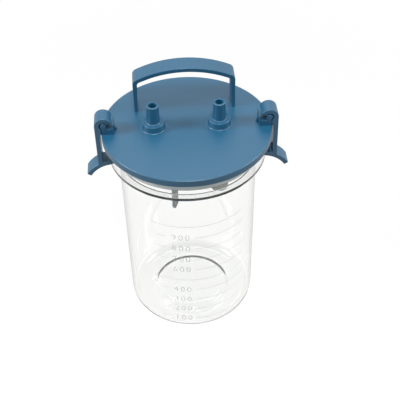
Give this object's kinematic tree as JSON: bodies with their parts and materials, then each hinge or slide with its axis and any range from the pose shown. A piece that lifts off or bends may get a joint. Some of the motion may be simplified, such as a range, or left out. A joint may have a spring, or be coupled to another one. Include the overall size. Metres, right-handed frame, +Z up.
{
  "type": "suction canister",
  "caption": "Clear graduated fluid collection jar with a clip-on blue lid: tubing ports, carrying handle, side latches and a float shut-off valve inside.",
  "frame": {"origin": "centre of the jar's foot, on the surface the canister stands on", "axes": "+Z up along the jar's axis, +X from the patient port to the vacuum port, +Y towards the side with the carrying handle, so -Y is the graduated front"},
  "size_m": [0.159, 0.131, 0.2183],
  "materials": {
    "clear_plastic": "clear, polished",
    "blue_plastic": "satin, moulded",
    "tube_plastic": "satin, slightly see-through",
    "seal_silicone": "milky silicone",
    "valve_plastic": "satin, moulded",
    "valve_rubber": "soft, matte"
  },
  "bodies": {
    "canister": {"jar": "clear_plastic", "lid": "blue_plastic", "lid_seal": "seal_silicone", "drip_tube": "tube_plastic", "float_cage": "valve_plastic", "cage_cap": "valve_plastic"},
    "left_latch": {"left_latch": "blue_plastic"},
    "right_latch": {"right_latch": "blue_plastic"},
    "valve_float": {"float": "valve_plastic", "float_seal": "valve_rubber"}
  },
  "joints": [
    {"name": "left_latch_hinge", "type": "hinge", "parent": "canister", "child": "left_latch", "pos_m": [-0.0632, 0, 0.1882], "axis": [0, 1, 0], "range_deg": [0, 45]},
    {"name": "right_latch_hinge", "type": "hinge", "parent": "canister", "child": "right_latch", "pos_m": [0.0632, 0, 0.1882], "axis": [0, -1, 0], "range_deg": [0, 45]},
    {"name": "float_slide", "type": "slide", "parent": "canister", "child": "valve_float", "axis": [0, 0, 1], "range_m": [0, 0.01]}
  ]
}
